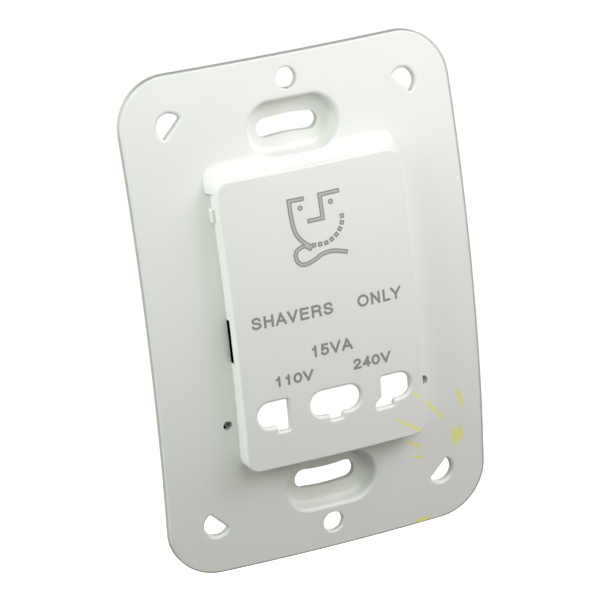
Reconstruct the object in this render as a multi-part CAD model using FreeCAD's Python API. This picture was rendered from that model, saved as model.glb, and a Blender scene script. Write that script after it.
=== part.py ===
"""Front moulding of a shaver socket, one injection-moulded piece, in millimetres.

The wall is the plane y = 0, the front faces -Y and +Z is up. The origin lies midway between the two
fixing screws. Flange and block follow two domes round one centre, because the whole moulding is bowed.
"""
import math
import os

import FreeCAD
import Part

Vector = FreeCAD.Vector

# Flange, whose outline lies a little right of and below the middle of the two screws
plate_width = 79.7
plate_height = 117.15
plate_middle_x = 0.3
plate_middle_z = -0.5
plate_corner_radius = 12.0
plate_edge_round = 0.6
flange_thickness = 1.9
dome_radius = 330.0

# Screw wells and the slots in their floors
fixing_centres = 84.0
slot_length = 14.9
slot_width = 4.4
well_length = 21.8
well_height = 12.1
well_depth = 4.4
well_wall = 1.6
well_floor = 1.8
well_rim_round = 0.8
well_floor_round = 1.2

# Raised block, hollow behind, which sits a little right of the plate's middle
block_middle = 0.4
block_width = 44.2
block_top = 33.8
block_bottom = -34.05
block_rise = 4.85
block_corner_radius = 2.8
block_edge_round = 0.4
block_wall = 1.1
block_face = 1.3

# Cove from the flange up the block's top wall, trimmed to a collar round the block's top corners
cove_radius = 4.2
collar_reach = 1.1
collar_corner_radius = 4.5
collar_end = 31.1

# Pin apertures in the block's face
aperture_middle = -20.95
aperture_height = 6.1
centre_aperture_width = 12.4
side_aperture_width = 7.4
side_aperture_margin = 3.2
notch_drop = 1.35
centre_notch_width = 3.0
side_notch_width = 2.7
flare_reach = 1.6
flare_drop = 1.4
aperture_corner_round = 0.45
aperture_inner_round = 0.75
aperture_lip_round = 0.65

# Holes in the flange
clip_hole_x = 28.2
clip_hole_z = 46.6
clip_hole_radius = 3.0
clip_flat_offset = 0.8
clip_corner_round = 0.35
clip_rim_round = 0.7
pin_hole_centres = 105.3
pin_hole_radius = 2.45
pin_rim_round = 0.35

# Blind pilot holes beside the block and the bosses behind them
pilot_margin = 2.3
pilot_z = -23.0
pilot_radius = 1.1
pilot_depth = 3.4
boss_radius = 2.0
boss_floor = 1.0

# Clip windows that bite into the foot of the side walls, and the nibs above them
window_bite = 0.5
window_rise = 1.4
window_length = 10.0
window_z = -3.1
nib_reach = 0.8
nib_length = 3.0
nib_rise = 1.5
nib_round = 0.4
nib_z = 26.0

# Room that cutting tools and overlaps take beyond the surface they work on, and the slack of a match
clear = 40.0
lap = 0.5
match = 1e-4

# The wall plane passes through the backs of the well floors
fixing_sag = dome_radius - math.sqrt(dome_radius**2 - (fixing_centres / 2) ** 2)
dome_pole = well_floor + well_depth + fixing_sag
dome_centre = Vector(0, dome_radius - dome_pole, 0)
mid_sheet = -flange_thickness / 2
block_left = block_middle - block_width / 2
block_right = block_middle + block_width / 2


def ball(rise):
    """The dome's ball, grown by the height of a surface above the flange."""
    return Part.makeSphere(dome_radius + rise, dome_centre)


def flange_front(x, z):
    """Y of the flange's front at a place on the plate."""
    return dome_centre.y - math.sqrt(dome_radius**2 - x**2 - z**2)


def at(x, z):
    return Vector(x, 0, z)


def line(a, b):
    return Part.LineSegment(a, b).toShape()


def arc(centre, radius, start, end):
    """Arc in the plate's plane, from one angle to another, in degrees from +X towards +Z."""
    points = []
    for angle in (start, (start + end) / 2, end):
        turn = math.radians(angle)
        points.append(centre + at(radius * math.cos(turn), radius * math.sin(turn)))
    return Part.Arc(*points).toShape()


def rounded_outline(left, right, bottom, top, radius):
    """Rectangle with four round corners."""
    corners = (
        (at(right - radius, top - radius), 0),
        (at(left + radius, top - radius), 90),
        (at(left + radius, bottom + radius), 180),
        (at(right - radius, bottom + radius), 270),
    )
    arcs = [arc(centre, radius, start, start + 90) for centre, start in corners]
    edges = []
    for index, corner in enumerate(arcs):
        after = arcs[(index + 1) % len(arcs)]
        edges.append(corner)
        edges.append(line(corner.Vertexes[-1].Point, after.Vertexes[0].Point))
    return Part.Wire(edges)


def obround(length, height, middle):
    """Straight outline with round ends, lying along X."""
    radius = height / 2
    reach = length / 2 - radius
    right = arc(middle + at(reach, 0), radius, -90, 90)
    left = arc(middle - at(reach, 0), radius, 90, 270)
    upper = line(right.Vertexes[-1].Point, left.Vertexes[0].Point)
    lower = line(left.Vertexes[-1].Point, right.Vertexes[0].Point)
    return Part.Wire([right, upper, left, lower])


def bent_slot(length, width, radius, turn):
    """Slot outline with round ends, bent about the origin; turn is the angle of its middle."""
    half = math.degrees((length - width) / 2 / radius)
    first = turn - half
    last = turn + half
    ends = []
    for angle in (first, last):
        ends.append(at(radius * math.cos(math.radians(angle)), radius * math.sin(math.radians(angle))))
    outer = arc(at(0, 0), radius + width / 2, first, last)
    inner = arc(at(0, 0), radius - width / 2, last, first)
    return Part.Wire([outer, arc(ends[1], width / 2, last, last + 180), inner,
                      arc(ends[0], width / 2, first - 180, first)])


def prism(wire, front, back):
    """Outline carried along Y from one depth to another."""
    face = Part.Face(wire)
    face.translate(Vector(0, front, 0))
    return face.extrude(Vector(0, back - front, 0))


def slab(left, right, bottom, top, front, back):
    size = (right - left, back - front, top - bottom)
    return Part.makeBox(*size, Vector(left, front, bottom))


def on_dome(shape, rise, keep):
    """Edges of a shape that lie on one of the domes and that the test keeps."""
    found = []
    for edge in shape.Edges:
        middle = edge.valueAt((edge.FirstParameter + edge.LastParameter) / 2)
        ends = [vertex.Point for vertex in edge.Vertexes]
        heights = [point.distanceToPoint(dome_centre) - dome_radius - rise for point in ends + [middle]]
        if max(abs(height) for height in heights) < match and keep(middle):
            found.append(edge)
    return found


def round_corners(points, radii):
    """Closed outline through points, each corner rounded by its own radius."""
    edges = []
    starts = []
    ends = []
    arcs = []
    count = len(points)
    for index, corner in enumerate(points):
        before = (points[index - 1] - corner).normalize()
        after = (points[(index + 1) % count] - corner).normalize()
        half = before.getAngle(after) / 2
        radius = radii[index]
        back_off = radius / math.tan(half)
        inward = (before + after).normalize()
        centre = corner + inward * (radius / math.sin(half))
        start = corner + before * back_off
        end = corner + after * back_off
        arcs.append(Part.Arc(start, centre - inward * radius, end).toShape())
        starts.append(start)
        ends.append(end)
    for index in range(count):
        edges.append(arcs[index])
        following = starts[(index + 1) % count]
        if ends[index].distanceToPoint(following) > match:
            edges.append(line(ends[index], following))
    return Part.Wire(edges)


def flange_sheet():
    """Domed sheet with its front edge rounded."""
    left = plate_middle_x - plate_width / 2
    bottom = plate_middle_z - plate_height / 2
    outline = rounded_outline(left, left + plate_width, bottom, bottom + plate_height, plate_corner_radius)
    sheet = prism(outline, -clear, clear).common(ball(0)).cut(ball(-flange_thickness))
    return sheet.makeFillet(plate_edge_round, on_dome(sheet, 0, lambda point: True))


def well_room(middle):
    """Space of a screw well, open to the front."""
    return prism(obround(well_length, well_height, middle), -clear, -well_floor)


def sink_wells(sheet):
    """The two screw wells, with rounded rims, and slots that let the plate turn level on its screws."""
    for side in (1, -1):
        middle = at(0, side * fixing_centres / 2)
        cup = prism(obround(well_length + 2 * well_wall, well_height + 2 * well_wall, middle), -clear, 0)
        sheet = sheet.fuse(cup.common(ball(mid_sheet)))
        sheet = sheet.cut(well_room(middle))
        reach = (well_length + well_wall) / 2
        rim = on_dome(sheet, 0, lambda point: point.distanceToPoint(Vector(0, point.y, middle.z)) < reach)
        sheet = sheet.makeFillet(well_rim_round, rim)
        floor = []
        for edge in sheet.Edges:
            box = edge.BoundBox
            level = max(abs(box.YMin + well_floor), abs(box.YMax + well_floor)) < match
            if level and box.Center.z * side > 0:
                floor.append(edge)
        sheet = sheet.makeFillet(well_floor_round, floor)
        slot = bent_slot(slot_length, slot_width, fixing_centres / 2, side * 90)
        sheet = sheet.cut(prism(slot, -clear, clear))
    return sheet


def raised_block():
    """Block with its front on the outer dome and its front edge rounded."""
    outline = rounded_outline(block_left, block_right, block_bottom, block_top, block_corner_radius)
    block = prism(outline, -clear, clear).common(ball(block_rise)).cut(ball(mid_sheet))
    return block.makeFillet(block_edge_round, on_dome(block, block_rise, lambda point: True))


def cove(sheet, block):
    """Hollow curve up the block's top wall, trimmed at the block's sides to a narrow collar."""
    joined = sheet.fuse(block)
    foot = on_dome(
        joined,
        0,
        lambda point: block_left - lap < point.x < block_right + lap
        and block_bottom - lap < point.z < block_top + lap,
    )
    curved = joined.makeFillet(cove_radius, foot)
    left = block_left - collar_reach
    right = block_right + collar_reach
    top = block_top + cove_radius
    outline = rounded_outline(left, right, block_bottom, top, collar_corner_radius)
    trim = prism(outline, -clear, clear).common(slab(left, right, collar_end, top, -clear, clear))
    return curved.common(trim).cut(ball(mid_sheet))


def block_hollow():
    """Room behind the block's face, open at the back."""
    left = block_left + block_wall
    right = block_right - block_wall
    radius = block_corner_radius - block_wall
    outline = rounded_outline(left, right, block_bottom + block_wall, block_top - block_wall, radius)
    return prism(outline, -clear, clear).common(ball(block_rise - block_face))


def aperture_outlines():
    """The three pin apertures about the block's middle: two D shapes either side of a slot, all notched."""
    top = aperture_middle + aperture_height / 2
    bottom = aperture_middle - aperture_height / 2
    low = bottom - notch_drop
    end = aperture_height / 2
    outer = aperture_corner_round
    inner = aperture_inner_round
    notch = centre_notch_width / 2
    half = centre_aperture_width / 2
    centre = (
        [at(half, top), at(half, bottom), at(notch, bottom), at(notch, low)],
        [end, end, inner, outer],
    )
    centre_points = centre[0] + [at(-point.x, point.z) for point in reversed(centre[0])]
    centre_radii = centre[1] + list(reversed(centre[1]))
    far = block_width / 2 - side_aperture_margin
    near = far - side_aperture_width
    side = near + side_notch_width
    body = [at(near, top), at(far, top), at(far, bottom), at(side, bottom), at(side, low)]
    body_radii = [outer, end, end, inner, outer]
    left_points = [at(-point.x, point.z) for point in body] + [at(-near, low)]
    flare = near - flare_reach
    right_points = body + [at(flare, low), at(flare, bottom), at(near, bottom + flare_drop)]
    return (
        round_corners(centre_points, centre_radii),
        round_corners(left_points, body_radii + [outer]),
        round_corners(right_points, body_radii + [outer, outer, inner]),
    )


def cut_apertures(body):
    for wire in aperture_outlines():
        wire.translate(at(block_middle, 0))
        body = body.cut(prism(wire, -clear, -dome_pole))
    lips = on_dome(
        body,
        block_rise,
        lambda point: block_left + block_wall < point.x < block_right - block_wall
        and block_bottom + block_wall < point.z < aperture_middle + aperture_height,
    )
    return body.makeFillet(aperture_lip_round, lips)


def clip_hole(side_x, side_z):
    """Round hole with a flat that faces the middle of the plate, its two corners eased."""
    middle = at(side_x * clip_hole_x, side_z * clip_hole_z)
    outward = math.degrees(math.atan2(side_z, side_x))
    half = math.degrees(math.acos(-clip_flat_offset / clip_hole_radius))
    bow = arc(middle, clip_hole_radius, outward - half, outward + half)
    flat = line(bow.Vertexes[-1].Point, bow.Vertexes[0].Point)
    hole = prism(Part.Wire([bow, flat]), -clear, clear)
    corners = [edge for edge in hole.Edges if edge.BoundBox.YLength > clear]
    return hole.makeFillet(clip_corner_round, corners)


def within(point, middle, radius):
    """Whether a point lies inside a circle of the plate's plane."""
    return (at(point.x, point.z) - middle).Length < radius


def cut_flange_holes(body):
    """Clip holes in the corners and pin holes at top and bottom, with their rims rounded."""
    for side_z in (1, -1):
        for side_x in (1, -1):
            body = body.cut(clip_hole(side_x, side_z))
            middle = at(side_x * clip_hole_x, side_z * clip_hole_z)
            rim = on_dome(body, 0, lambda point: within(point, middle, clip_hole_radius + lap))
            body = body.makeFillet(clip_rim_round, rim)
        pin = at(0, side_z * pin_hole_centres / 2)
        ring = Part.Wire([Part.makeCircle(pin_hole_radius, pin, Vector(0, 1, 0))])
        body = body.cut(prism(ring, -clear, clear))
        rim = on_dome(body, 0, lambda point: within(point, pin, pin_hole_radius + lap))
        body = body.makeFillet(pin_rim_round, rim)
    return body


def pilot_boss(side):
    """Boss behind the flange, and the blind hole that enters it from the front."""
    x = block_middle + side * (block_width / 2 + pilot_margin)
    front = flange_front(x, pilot_z)
    back = front + pilot_depth + boss_floor
    away = Vector(0, 1, 0)
    post = Part.makeCylinder(boss_radius, back - front, Vector(x, front, pilot_z), away)
    post = post.common(ball(mid_sheet))
    hole = Part.makeCylinder(pilot_radius, clear, Vector(x, front + pilot_depth - clear, pilot_z), away)
    return post, hole


def side_nib():
    """Small rounded rib at the foot of the block's right wall."""
    front = flange_front(block_right, nib_z)
    low = nib_z - nib_length / 2
    high = nib_z + nib_length / 2
    rib = slab(block_right - lap, block_right + nib_reach, low, high, front - nib_rise,
               front + flange_thickness / 2)
    soft = []
    for edge in rib.Edges:
        middle = edge.CenterOfMass
        outer = abs(middle.x - block_right - nib_reach) < match
        if outer and middle.y < front and middle.z > low + match:
            soft.append(edge)
    return rib.makeFillet(nib_round, soft)


def clip_window():
    """Slit through the flange that bites into the foot of the block's right wall."""
    low = window_z - window_length / 2
    high = window_z + window_length / 2
    front = flange_front(block_right, window_z) - window_rise
    return slab(block_right - window_bite, block_right, low, high, front, clear)


def front_plate():
    sheet = flange_sheet()
    block = raised_block()
    middle = at(block_middle, 0)
    across = Vector(1, 0, 0)
    body = sink_wells(sheet).fuse(block)
    body = body.fuse(cove(sheet, block).cut(well_room(at(0, fixing_centres / 2))))
    body = body.fuse(side_nib()).fuse(side_nib().mirror(middle, across))
    holes = [clip_window(), clip_window().mirror(middle, across)]
    for side in (1, -1):
        post, hole = pilot_boss(side)
        body = body.fuse(post)
        holes.append(hole)
    for hole in holes:
        body = body.cut(hole)
    body = body.cut(block_hollow())
    body = cut_apertures(body)
    return cut_flange_holes(body)


os.makedirs("parts", exist_ok=True)
plate = front_plate()
plate.exportStep("parts/front_plate.step")
print("solids", len(plate.Solids), "valid", plate.isValid(), "volume", round(plate.Volume, 1))
print("box", plate.BoundBox)
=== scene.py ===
"""Look of a shaver socket's front plate: moulded white plastic with grey pad print, on a white ground."""
import math

import bmesh
import bpy
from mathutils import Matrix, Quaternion, Vector
from mathutils.bvhtree import BVHTree


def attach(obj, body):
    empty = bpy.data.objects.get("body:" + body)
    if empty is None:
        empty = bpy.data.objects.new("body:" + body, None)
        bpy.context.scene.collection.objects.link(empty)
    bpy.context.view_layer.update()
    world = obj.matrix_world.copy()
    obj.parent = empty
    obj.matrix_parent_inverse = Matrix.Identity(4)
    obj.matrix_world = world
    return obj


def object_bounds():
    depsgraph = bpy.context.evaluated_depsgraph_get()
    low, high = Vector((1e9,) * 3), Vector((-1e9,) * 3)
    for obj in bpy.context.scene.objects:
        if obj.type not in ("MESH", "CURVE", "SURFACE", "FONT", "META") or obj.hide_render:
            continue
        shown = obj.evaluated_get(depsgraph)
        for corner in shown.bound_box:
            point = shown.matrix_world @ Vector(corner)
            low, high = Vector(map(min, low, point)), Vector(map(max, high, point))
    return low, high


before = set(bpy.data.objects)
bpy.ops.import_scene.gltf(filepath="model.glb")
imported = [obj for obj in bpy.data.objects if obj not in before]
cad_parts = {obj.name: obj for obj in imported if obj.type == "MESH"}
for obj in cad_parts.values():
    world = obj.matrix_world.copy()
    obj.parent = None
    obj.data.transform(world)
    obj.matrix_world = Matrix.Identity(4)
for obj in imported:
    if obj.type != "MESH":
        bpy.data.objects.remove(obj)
cad_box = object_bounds()
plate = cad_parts["front_plate"]
mm = 0.001

# A metre, which is more than any depth on the plate, and a gap too small to matter
any_depth = 1.0
touching = 0.001 * mm

# Photo's view: a long lens to the left of the plate and above it, tipped to one side
image_width = 600
focal_pixels = 3200
sensor_width = 36.0
camera_place = Vector((-252.97, -650.65, 207.09)) * mm
camera_aim = Vector((-4.77, -10.66, 3.47)) * mm
camera_tip = math.radians(-6.26)

# Soft boxes, two of them near the plate and the last for its back: place and width in metres, watts, colour
softboxes = {
    "softbox_left": ((-0.686, -0.111, 0.396), 0.60, 5.45, "#f9fffa"),
    "softbox_upper_right": ((0.49, -0.40, 0.49), 0.60, 2.28, "#faefff"),
    "softbox_right": ((0.40, -0.693, 0.0), 0.30, 0.66, "#fff7e2"),
    "near_softbox_above": ((0.0, -0.277, 0.16), 0.16, 0.27, "#f2fff4"),
    "near_softbox_right": ((0.196, -0.16, 0.196), 0.16, 0.32, "#fbf6ff"),
    "softbox_behind": ((0.45, 0.66, -0.05), 0.30, 5.0, "#ffffff"),
}

# White ground: light of the air, then the paper floor's half width and drop in metres, and its shade
air_light = 0.02
floor_reach = 6.0
floor_drop = 0.3
paper_shade = "#8c8c8a"
white = "#ffffff"

# Plate outline, as the CAD has it
plate_corner = 12.0 * mm
plate_middle = (cad_box[0] + cad_box[1]) / 2
plate_half = (cad_box[1] - cad_box[0]) / 2

# White plastic: two whites that drift into each other, and the mould's grain
plate_white = "#f1f2ee"
plate_white_dull = "#edeee9"
plastic_ior = 1.53
drift_size = 24 * mm
drift_detail = 2.0
grain_size = 0.5 * mm
grain_detail = 3.0
grain_depth = 0.05 * mm
grain_strength = 0.04

# Polish of the mould, by how squarely a face looks out of it, and the walls that are dragged matt
polish_start = 0.6
polish_full = 0.95
polished_specular = 0.5
polished_roughness = 0.36
grain_roughness = 0.44
dragged_roughness = 0.9

# Painted shade on the edge all round, in grey: where it starts inside the outline, where it is full, and its
# shift right and down
rim_shade_grey = "#b6b8b4"
rim_start = 0.42 * mm
rim_full = 0.26 * mm
rim_offset = Vector((0.32, 0.0, -0.16)) * mm

# Black painted shade, in rooms of two corners each in plate millimetres: clip windows, then bottoms of the
# pilot holes
hollow_shade_black = "#0c0c0b"
hollow_shade_rooms = (
    ((-21.78, -9.6, -8.15), (-21.1, -6.4, 1.95)),
    ((21.9, -9.6, -8.15), (22.58, -6.4, 1.95)),
    ((-25.15, -5.0, -24.15), (-23.65, -3.4, -21.85)),
    ((23.65, -5.0, -24.15), (25.15, -3.4, -21.85)),
)

# Yellow rubs in plate millimetres: middle, length, width, and slope in degrees
rub_yellow = "#f6f68c"
rub_marks = (
    (20.4, -24.3, 2.8, 0.8, -50),
    (27.0, -30.9, 9.0, 1.0, -52),
    (18.4, -31.5, 9.8, 1.0, -37),
    (21.4, -38.3, 5.8, 0.9, -30),
    (22.4, -41.8, 3.4, 0.8, -20),
    (34.1, -29.8, 5.8, 1.3, -73),
    (32.0, -39.3, 6.4, 1.1, -85),
    (33.0, -38.9, 4.9, 1.1, -86),
    (34.0, -38.6, 4.5, 1.1, -86),
    (22.9, -58.2, 5.2, 1.2, 2),
)

# Soft border of a rub, the streaks that thin it, and how far forward a face looks to be rubbed in full
rub_border = 0.25
streak_size = 1.1 * mm
streak_detail = 2.0
streak_start = 0.3
streak_full = 0.6
streak_least = 0.6
rubbed_front = -0.3

# Pad-print ink, as shades of full and thin ink: outlines of the symbol, its paler middle, and the words
outline_greys = ("#8e908b", "#95978f")
core_greys = ("#bcbeb9", "#c1c3bd")
word_greys = ("#8a8c86", "#92948d")
ink_patch = 0.6 * mm
ink_detail = 2.0
ink_roughness = 0.5
ink_ior = 1.5

# Ink film: its height, how far it sinks in, how far strokes and middles top what is below, and its facets
film = 0.035 * mm
bed = 0.03 * mm
stroke_step = 0.002 * mm
core_lift = 0.04 * mm
longest_facet = 1.5 * mm

# Steps of a curve between two of its points, of an oval and of a dot, and the cosine of the sharpest mitre
curve_steps = 8
oval_steps = 32
dot_steps = 28
mitre_limit = 0.5

# Shaver symbol in plate millimetres: strokes with sharp corners, curved strokes, dots and the dashed beard
stroke_width = 1.05
core_inset = 0.31
brow_corners = ((-2.0, 26.95), (-5.65, 26.95))
cheek_curve = ((-5.65, 24.6), (-5.5, 22.0), (-5.1, 19.8), (-4.3, 18.25), (-3.3, 17.1), (-1.6, 15.7))
nose_corners = ((6.6, 27.15), (1.8, 27.05), (1.8, 21.75), (-1.9, 21.7))
shaver_ends = ((-3.4, 16.85), (-1.55, 15.45))
shaver_width = 1.5
cord_curve = (
    (-3.2, 16.35), (-4.4, 16.1), (-5.4, 15.4), (-5.7, 14.25), (-5.3, 13.0), (-4.2, 12.2),
    (-2.8, 12.3), (-1.1, 12.9), (0.45, 13.65), (2.15, 13.95), (4.0, 13.8), (6.8, 13.0),
)
eye_middles = ((-3.2, 24.95), (4.2, 25.05))
eye_radius = 0.62
beard_curve = ((6.45, 21.85), (6.32, 19.97), (4.89, 17.67), (2.49, 16.21), (0.68, 16.0), (-1.6, 16.15))
beard_dashes = 8
beard_dash = 1.05

# Share of a dash that is drawn: a hair short, so that the last one ends on its line
dash_share = 0.999

# Words on the block in plate millimetres: left and right ends, baseline and height of the capitals
pen_width = 0.55
words = (
    ("SHAVERS", -17.9, 1.7, -0.35, 2.85),
    ("ONLY", 7.75, 18.7, -0.35, 2.85),
    ("15VA", -4.5, 5.55, -9.55, 2.8),
    ("110V", -13.75, -4.55, -14.65, 2.5),
    ("240V", 5.3, 14.7, -14.6, 2.5),
)

# Letters by a capital's height: room before, width, step onward, and strokes with x as a share of the width
letter_strokes = {
    "A": (0.12, 0.69, 0.93, [
        ("line", [(0, 0), (0.5, 1)]),
        ("line", [(0.5, 1), (1, 0)]),
        ("line", [(0.15, 0.3), (0.85, 0.3)]),
    ]),
    "E": (0.22, 0.54, 0.93, [
        ("line", [(1, 1), (0, 1), (0, 0), (1, 0)]),
        ("line", [(0, 0.53), (0.9, 0.53)]),
    ]),
    "H": (0.21, 0.59, 1.01, [
        ("line", [(0, 0), (0, 1)]),
        ("line", [(1, 0), (1, 1)]),
        ("line", [(0, 0.53), (1, 0.53)]),
    ]),
    "L": (0.21, 0.44, 0.77, [
        ("line", [(0, 1), (0, 0), (1, 0)]),
    ]),
    "N": (0.21, 0.59, 1.01, [
        ("line", [(0, 0), (0, 1)]),
        ("line", [(0, 1), (1, 0)]),
        ("line", [(1, 0), (1, 1)]),
    ]),
    "O": (0.15, 0.78, 1.08, [
        ("oval", [(0, 0), (1, 1)]),
    ]),
    "R": (0.22, 0.63, 1.01, [
        ("line", [(0, 0), (0, 1), (0.55, 1)]),
        ("curve", [(0.55, 1), (0.84, 0.93), (0.94, 0.75), (0.84, 0.57), (0.55, 0.5)]),
        ("line", [(0.55, 0.5), (0, 0.5)]),
        ("curve", [(0.6, 0.5), (0.84, 0.42), (0.92, 0.22), (0.97, 0)]),
    ]),
    "S": (0.17, 0.59, 0.93, [
        ("curve", [(0.93, 0.8), (0.8, 0.95), (0.49, 1), (0.14, 0.92), (0.04, 0.75), (0.18, 0.59), (0.5, 0.51),
                   (0.86, 0.42), (1, 0.26), (0.86, 0.08), (0.5, 0), (0.16, 0.06), (0.03, 0.2)]),
    ]),
    "V": (0.13, 0.67, 0.93, [
        ("line", [(0, 1), (0.5, 0)]),
        ("line", [(0.5, 0), (1, 1)]),
    ]),
    "Y": (0.12, 0.69, 0.93, [
        ("line", [(0, 1), (0.5, 0.42)]),
        ("line", [(0.5, 0.42), (1, 1)]),
        ("line", [(0.5, 0.42), (0.5, 0)]),
    ]),
    "0": (0.12, 0.53, 0.77, [
        ("oval", [(0, 0), (1, 1)]),
    ]),
    "1": (0.2, 0.22, 0.77, [
        ("line", [(1, 1), (1, 0)]),
        ("line", [(0.2, 0.76), (1, 0.82)]),
    ]),
    "2": (0.14, 0.47, 0.77, [
        ("curve", [(0.04, 0.76), (0.15, 0.93), (0.48, 1), (0.85, 0.92), (0.97, 0.72), (0.81, 0.5), (0.4, 0.3),
                   (0.1, 0.14), (0, 0)]),
        ("line", [(0, 0), (1, 0)]),
    ]),
    "4": (0.14, 0.49, 0.77, [
        ("line", [(0.75, 0), (0.75, 1)]),
        ("line", [(0.75, 1), (0.03, 0.28)]),
        ("line", [(0, 0.28), (1, 0.28)]),
    ]),
    "5": (0.15, 0.47, 0.77, [
        ("line", [(0.9, 1), (0.16, 1), (0.06, 0.5)]),
        ("curve", [(0.1, 0.52), (0.48, 0.63), (0.87, 0.53), (1, 0.32), (0.87, 0.1), (0.48, 0), (0.15, 0.05),
                   (0.03, 0.17)]),
    ]),
}

# Colour sockets of a Mix node, by number because its sockets for numbers and colours share their names
first_colour = 6
second_colour = 7
mixed_colour = 2


def linear(text):
    """Linear colour of an sRGB hex value."""
    parts = [int(text[index:index + 2], 16) / 255 for index in (1, 3, 5)]
    return [part / 12.92 if part <= 0.04045 else ((part + 0.055) / 1.055) ** 2.4 for part in parts] + [1.0]


def node(tree, kind, inputs=None, **settings):
    """One shader node with its settings; an input takes a value or another node's output."""
    made = tree.nodes.new("ShaderNode" + kind)
    for name, value in settings.items():
        setattr(made, name, value)
    for socket, value in (inputs or {}).items():
        if isinstance(value, bpy.types.NodeSocket):
            tree.links.new(value, made.inputs[socket])
        else:
            made.inputs[socket].default_value = value
    return made


def new_material(name):
    """Material with an empty node tree, and that tree."""
    material = bpy.data.materials.new(name)
    material.use_nodes = True
    material.node_tree.nodes.clear()
    return material, material.node_tree


def beyond_box(tree, place, middle, half):
    """How far a point is past a box on each axis; below zero is inside."""
    shifted = node(tree, "VectorMath", {0: place, 1: middle}, operation="SUBTRACT").outputs["Vector"]
    folded = node(tree, "VectorMath", {0: shifted}, operation="ABSOLUTE").outputs["Vector"]
    return node(tree, "VectorMath", {0: folded, 1: half}, operation="SUBTRACT").outputs["Vector"]


def rim_shade_mask(tree, place):
    """1 on the edge all round where shade is painted, found from the plate's rounded outline."""
    inner = plate_half - Vector((plate_corner, -any_depth, plate_corner))
    past = beyond_box(tree, place, plate_middle - rim_offset, inner)
    beyond = node(tree, "VectorMath", {0: past, 1: (0, 0, 0)}, operation="MAXIMUM").outputs["Vector"]
    reach = node(tree, "VectorMath", {0: beyond}, operation="LENGTH").outputs["Value"]
    sockets = {"Value": reach, "From Min": plate_corner - rim_start, "From Max": plate_corner - rim_full}
    return node(tree, "MapRange", sockets, interpolation_type="SMOOTHSTEP").outputs["Result"]


def hollow_shade_mask(tree, place):
    """1 in the rooms where black shade is painted."""
    hollow_shade = None
    for low, high in hollow_shade_rooms:
        middle = (Vector(low) + Vector(high)) / 2 * mm
        half = (Vector(high) - Vector(low)) / 2 * mm
        past = node(tree, "SeparateXYZ", {0: beyond_box(tree, place, middle, half)}).outputs
        wider = node(tree, "Math", {0: past["X"], 1: past["Y"]}, operation="MAXIMUM").outputs["Value"]
        widest = node(tree, "Math", {0: wider, 1: past["Z"]}, operation="MAXIMUM").outputs["Value"]
        inside = node(tree, "Math", {0: widest, 1: 0.0}, operation="LESS_THAN").outputs["Value"]
        if hollow_shade:
            inside = node(tree, "Math", {0: hollow_shade, 1: inside}, operation="MAXIMUM").outputs["Value"]
        hollow_shade = inside
    return hollow_shade


def rub_mask(tree, place, facing):
    """1 on the yellow rubs: narrow ellipses on the plate's front, a little broken by streaks."""
    rubbed = None
    for x, z, length, width, slope in rub_marks:
        sockets = {
            "Vector": place,
            "Location": (x * mm, 0, z * mm),
            "Rotation": (0, math.radians(-slope), 0),
            "Scale": (length / 2 * mm, any_depth, width / 2 * mm),
        }
        local = node(tree, "Mapping", sockets, vector_type="TEXTURE").outputs["Vector"]
        spot = node(tree, "TexGradient", {"Vector": local}, gradient_type="SPHERICAL").outputs["Fac"]
        if rubbed:
            spot = node(tree, "Math", {0: rubbed, 1: spot}, operation="MAXIMUM").outputs["Value"]
        rubbed = spot
    sockets = {"Vector": place, "Scale": 1 / streak_size, "Detail": streak_detail}
    streak = node(tree, "TexNoise", sockets).outputs["Fac"]
    shares = []
    for sockets in (
        {"Value": rubbed, "From Max": rub_border},
        {"Value": streak, "From Min": streak_start, "From Max": streak_full, "To Min": streak_least},
        {"Value": facing, "From Max": rubbed_front},
    ):
        shares.append(node(tree, "MapRange", sockets, interpolation_type="SMOOTHSTEP").outputs["Result"])
    marks, streaks, front = shares
    streaked = node(tree, "Math", {0: marks, 1: streaks}, operation="MULTIPLY").outputs["Value"]
    return node(tree, "Math", {0: streaked, 1: front}, operation="MULTIPLY").outputs["Value"]


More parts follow.
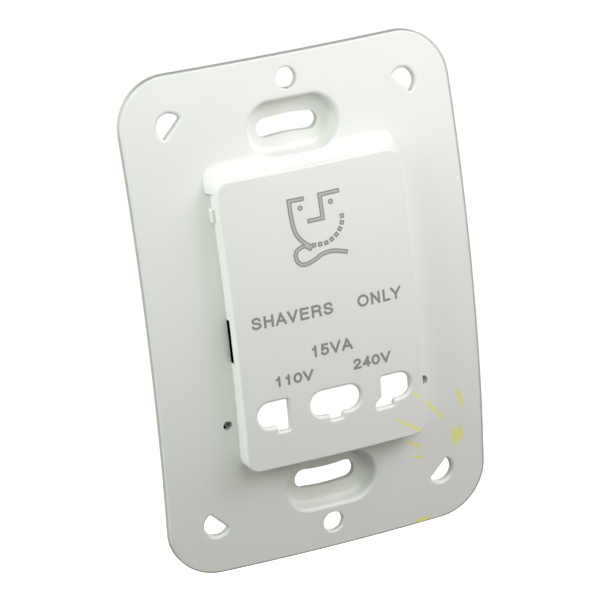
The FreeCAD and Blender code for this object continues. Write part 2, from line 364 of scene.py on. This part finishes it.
def moulded_white_plastic():
    """White ABS from a polished mould, which gives a soft sheen and a faint grain.

    It carries painted shade along the edge, black painted shade in the slits and pilot holes, and yellow
    rubs.
    """
    material, tree = new_material("moulded_white_abs")
    coordinates = node(tree, "TexCoord").outputs
    place = coordinates["Object"]
    facing = node(tree, "SeparateXYZ", {0: coordinates["Normal"]}).outputs["Y"]

    # Slow drift between two whites, as pigment and handling give
    sockets = {"Vector": place, "Scale": 1 / drift_size, "Detail": drift_detail}
    drift = node(tree, "TexNoise", sockets).outputs["Fac"]
    sockets = {"Factor": drift, first_colour: linear(plate_white), second_colour: linear(plate_white_dull)}
    colour = node(tree, "Mix", sockets, data_type="RGBA").outputs[mixed_colour]
    # Painted shade: black in the slits and pilot holes, grey on the edge all round; then the yellow rubs
    hollow_shade = hollow_shade_mask(tree, place)
    for mask, shade in (
        (rim_shade_mask(tree, place), rim_shade_grey),
        (hollow_shade, hollow_shade_black),
        (rub_mask(tree, place, facing), rub_yellow),
    ):
        sockets = {"Factor": mask, first_colour: colour, second_colour: linear(shade)}
        colour = node(tree, "Mix", sockets, data_type="RGBA").outputs[mixed_colour]

    # Mould grain, drawn coarser than the real 0.1 mm so that it shows
    sockets = {"Vector": place, "Scale": 1 / grain_size, "Detail": grain_detail}
    grain = node(tree, "TexNoise", sockets).outputs["Fac"]
    sockets = {"Height": grain, "Strength": grain_strength, "Distance": grain_depth}
    relief = node(tree, "Bump", sockets).outputs["Normal"]
    sockets = {"Value": grain, "To Min": polished_roughness, "To Max": grain_roughness}
    gloss = node(tree, "MapRange", sockets).outputs["Result"]

    # Faces that the mould opens across keep its polish; walls it slides along are dragged matt
    frontal = node(tree, "Math", {0: facing}, operation="ABSOLUTE").outputs["Value"]
    sockets = {"Value": frontal, "From Min": polish_start, "From Max": polish_full}
    polish = node(tree, "MapRange", sockets, interpolation_type="SMOOTHSTEP").outputs["Result"]
    sheen = node(tree, "Math", {0: polish, 1: polished_specular}, operation="MULTIPLY").outputs["Value"]
    sockets = {"Value": polish, "To Min": dragged_roughness, "To Max": 0.0}
    dragged = node(tree, "MapRange", sockets).outputs["Result"]
    # The black painted shade is fully matt as well
    rough = node(tree, "Math", {0: gloss, 1: hollow_shade}, operation="MAXIMUM").outputs["Value"]
    matt = node(tree, "Math", {0: rough, 1: dragged}, operation="MAXIMUM").outputs["Value"]
    shader = node(tree, "BsdfPrincipled", {
        "Base Color": colour,
        "Roughness": matt,
        "Specular IOR Level": sheen,
        "IOR": plastic_ior,
        "Normal": relief,
    })
    node(tree, "OutputMaterial", {"Surface": shader.outputs["BSDF"]})
    return material


def pad_print_ink(name, full_shade, thin_shade):
    """Grey pad-print ink: a thin matt film, a little uneven where the pad lifted."""
    material, tree = new_material(name)
    place = node(tree, "TexCoord").outputs["Object"]
    sockets = {"Vector": place, "Scale": 1 / ink_patch, "Detail": ink_detail}
    patch = node(tree, "TexNoise", sockets).outputs["Fac"]
    sockets = {"Factor": patch, first_colour: linear(full_shade), second_colour: linear(thin_shade)}
    ink = node(tree, "Mix", sockets, data_type="RGBA").outputs[mixed_colour]
    sockets = {"Base Color": ink, "Roughness": ink_roughness, "IOR": ink_ior}
    shader = node(tree, "BsdfPrincipled", sockets)
    node(tree, "OutputMaterial", {"Surface": shader.outputs["BSDF"]})
    return material


def on_plate(points):
    """Points in metres from pairs of plate millimetres, across and up."""
    return [Vector((x, 0, z)) * mm for x, z in points]


def smooth_line(points):
    """Points of a curve that passes through the given ones."""
    knots = [2 * points[0] - points[1], *points, 2 * points[-1] - points[-2]]
    curve = []
    for a, b, c, d in zip(knots, knots[1:], knots[2:], knots[3:]):
        for step in range(curve_steps):
            t = step / curve_steps
            curve.append(0.5 * (2 * b + (c - a) * t + (2 * a - 5 * b + 4 * c - d) * t**2
                                + (3 * b - a - 3 * c + d) * t**3))
    return curve + [points[-1]]


def oval_line(low, high):
    """Closed oval in the box between two corners."""
    middle = (low + high) / 2
    half = (high - low) / 2
    turns = [math.tau * step / oval_steps for step in range(oval_steps + 1)]
    return [middle + Vector((half.x * math.cos(turn), 0, half.z * math.sin(turn))) for turn in turns]


def ribbon(sheet, points, width, order):
    """Flat strip along a line, mitred at corners; a higher order lies on top.

    A line that ends where it began gives a closed strip.
    """
    closed = (points[0] - points[-1]).length < touching
    points = points[:-1] if closed else points
    rise = Vector((0, -order * stroke_step, 0))
    rails = []
    for index, point in enumerate(points):
        before = (point - points[index - 1]).normalized()
        after = (points[(index + 1) % len(points)] - point).normalized()
        if not closed and index == 0:
            before = after
        if not closed and index == len(points) - 1:
            after = before
        along = (before + after).normalized()
        side = Vector((-along.z, 0, along.x)) * width * mm / 2 / max(along.dot(before), mitre_limit)
        rails.append((sheet.verts.new(point + side + rise), sheet.verts.new(point - side + rise)))
    following = rails[1:] + rails[:1] if closed else rails[1:]
    for (a, b), (c, d) in zip(rails, following):
        sheet.faces.new((a, b, d, c))


def shortened(points, trim):
    """The line with a piece cut from each end; a trim below zero makes it longer."""
    first = points[0] + (points[1] - points[0]).normalized() * trim * mm
    last = points[-1] + (points[-2] - points[-1]).normalized() * trim * mm
    return [first, *points[1:-1], last]


def dot(sheet, middle, radius):
    """Round spot in the flat drawing."""
    ring = bmesh.ops.create_circle(sheet, cap_ends=True, radius=radius * mm, segments=dot_steps)["verts"]
    for vert in ring:
        vert.co = middle + Vector((vert.co.x, 0, vert.co.y))


def dashes(points, count, length):
    """Short even stretches along a line."""
    ends = [0.0]
    for a, b in zip(points, points[1:]):
        ends.append(ends[-1] + (b - a).length)

    def at(distance):
        index = max(i for i in range(len(points) - 1) if ends[i] <= distance)
        share = (distance - ends[index]) / (ends[index + 1] - ends[index])
        return points[index].lerp(points[index + 1], share)

    pitch = (ends[-1] - length) / (count - 1)
    return [[at(index * pitch), at(index * pitch + length * dash_share)] for index in range(count)]


def draw_symbol(sheet, inset):
    """Face with a shaver under its chin; the inset draws the paler middle of each stroke."""
    strokes = [
        smooth_line(on_plate(cord_curve)),
        on_plate(brow_corners) + smooth_line(on_plate(cheek_curve)),
        on_plate(nose_corners),
    ]
    strokes += dashes(smooth_line(on_plate(beard_curve)), beard_dashes, beard_dash * mm)
    for order, points in enumerate(strokes):
        ribbon(sheet, shortened(points, inset), stroke_width - 2 * inset, order)
    ribbon(sheet, shortened(on_plate(shaver_ends), inset), shaver_width - 2 * inset, len(strokes))
    for middle in on_plate(eye_middles):
        dot(sheet, middle, eye_radius - inset)


def draw_words(sheet):
    """Words in plain letters with square pen ends, each word fitted to its place on the block."""
    for text, left, right, base, height in words:
        room_before, _, _, _ = letter_strokes[text[0]]
        room, width, step, _ = letter_strokes[text[-1]]
        steps = sum(each for _, _, each, _ in map(letter_strokes.get, text))
        wide = (right - left - pen_width) / (steps - room_before - (step - room - width))
        tall = height - pen_width
        start = left + pen_width / 2 - room_before * wide
        for letter in text:
            room, width, step, strokes = letter_strokes[letter]
            for order, (kind, spots) in enumerate(strokes):
                across = [start + (room + x * width) * wide for x, _ in spots]
                up = [base + pen_width / 2 + z * tall for _, z in spots]
                points = on_plate(zip(across, up))
                if kind == "oval":
                    points = oval_line(*points)
                else:
                    points = smooth_line(points) if kind == "curve" else points
                    points = shortened(points, -pen_width / 2)
                ribbon(sheet, points, pen_width, order)
            start += step * wide


def lay_on_block(name, sheet, ink, lift):
    """Closed ink film made from a flat drawing, laid on the block's domed face."""
    bmesh.ops.remove_doubles(sheet, verts=sheet.verts, dist=touching)
    bmesh.ops.triangulate(sheet, faces=sheet.faces)
    long_edges = [edge for edge in sheet.edges if edge.calc_length() > longest_facet]
    bmesh.ops.subdivide_edges(sheet, edges=long_edges, cuts=1)
    bmesh.ops.triangulate(sheet, faces=sheet.faces)
    under = list(sheet.verts)
    raised = bmesh.ops.extrude_face_region(sheet, geom=list(sheet.faces))["geom"]
    over = [part for part in raised if isinstance(part, bmesh.types.BMVert)]
    for vert in over:
        vert.co.y -= lift
    for vert in under:
        vert.co.y = bed
    for vert in under + over:
        in_front = Vector((vert.co.x, -any_depth, vert.co.z))
        vert.co.y += surface.ray_cast(in_front, Vector((0, 1, 0)))[0].y
    bmesh.ops.recalc_face_normals(sheet, faces=sheet.faces)
    mesh = bpy.data.meshes.new(name)
    sheet.to_mesh(mesh)
    sheet.free()
    mesh.materials.append(ink)
    piece = bpy.data.objects.new(name, mesh)
    bpy.context.scene.collection.objects.link(piece)
    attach(piece, "root")


def aimed(name, data, place, aim, tip=0.0):
    """Lamp or camera at a place, turned to face a point."""
    holder = bpy.data.objects.new(name, data)
    holder.location = place
    holder.rotation_mode = "QUATERNION"
    level = (Vector(aim) - Vector(place)).to_track_quat("-Z", "Y")
    holder.rotation_quaternion = level @ Quaternion((0, 0, 1), tip)
    bpy.context.scene.collection.objects.link(holder)
    return holder


def seen_directly(tree):
    """1 for rays that come straight from the camera or by a reflection or glass."""
    path = node(tree, "LightPath").outputs
    seen = node(tree, "Math", {0: path["Is Camera Ray"], 1: path["Is Glossy Ray"]}, operation="MAXIMUM")
    sockets = {0: seen.outputs["Value"], 1: path["Is Transmission Ray"]}
    return node(tree, "Math", sockets, operation="MAXIMUM").outputs["Value"]


def paper_floor():
    """Matt white paper: pure white to the eye, and no brighter than a mid grey to the plate above it."""
    material, tree = new_material("white_paper_sweep")
    glow = node(tree, "Emission", {"Color": linear(white), "Strength": seen_directly(tree)})
    paper = node(tree, "BsdfDiffuse", {"Color": linear(paper_shade)})
    both = node(tree, "AddShader", {0: glow.outputs["Emission"], 1: paper.outputs["BSDF"]})
    node(tree, "OutputMaterial", {"Surface": both.outputs["Shader"]})
    mesh = bpy.data.meshes.new("paper_floor")
    signs = ((-1, -1), (1, -1), (1, 1), (-1, 1))
    corners = [(x * floor_reach, y * floor_reach, -floor_drop) for x, y in signs]
    mesh.from_pydata(corners, [], [(0, 1, 2, 3)])
    mesh.materials.append(material)
    floor = bpy.data.objects.new("paper_floor", mesh)
    bpy.context.scene.collection.objects.link(floor)


def studio_air():
    """Air that looks white behind the plate and lights it only a little."""
    world = bpy.data.worlds.new("studio_air")
    world.use_nodes = True
    tree = world.node_tree
    tree.nodes.clear()
    dim = node(tree, "Background", {"Color": linear(white), "Strength": air_light}).outputs["Background"]
    bright = node(tree, "Background", {"Color": linear(white), "Strength": 1.0}).outputs["Background"]
    mixed = node(tree, "MixShader", {0: seen_directly(tree), 1: dim, 2: bright})
    node(tree, "OutputWorld", {"Surface": mixed.outputs["Shader"]})
    bpy.context.scene.world = world


def studio_lamps():
    """Square soft boxes, all turned to the plate's middle."""
    for name, (place, width, watts, tint) in softboxes.items():
        lamp = bpy.data.lights.new(name, "AREA")
        lamp.shape = "SQUARE"
        lamp.size = width
        lamp.energy = watts
        lamp.color = linear(tint)[:3]
        aimed(name, lamp, place, (0, 0, 0))


def photo_camera():
    """Camera with the photo's lens, place and tip."""
    lens = bpy.data.cameras.new("photo_camera")
    lens.sensor_width = sensor_width
    lens.lens = focal_pixels / image_width * sensor_width
    bpy.context.scene.camera = aimed("photo_camera", lens, camera_place, camera_aim, camera_tip)


bpy.context.scene.view_settings.view_transform = "Standard"
surface = BVHTree.FromObject(plate, bpy.context.evaluated_depsgraph_get())
plate.data.materials[0] = moulded_white_plastic()

outline_ink = pad_print_ink("grey_pad_print", *outline_greys)
core_ink = pad_print_ink("grey_pad_print_thin", *core_greys)
word_ink = pad_print_ink("grey_pad_print_words", *word_greys)

symbol = bmesh.new()
draw_symbol(symbol, 0.0)
lay_on_block("shaver_symbol", symbol, outline_ink, film)
symbol = bmesh.new()
draw_symbol(symbol, core_inset)
lay_on_block("shaver_symbol_core", symbol, core_ink, film + core_lift)
lettering = bmesh.new()
draw_words(lettering)
lay_on_block("lettering", lettering, word_ink, film)

paper_floor()
studio_air()
studio_lamps()
photo_camera()
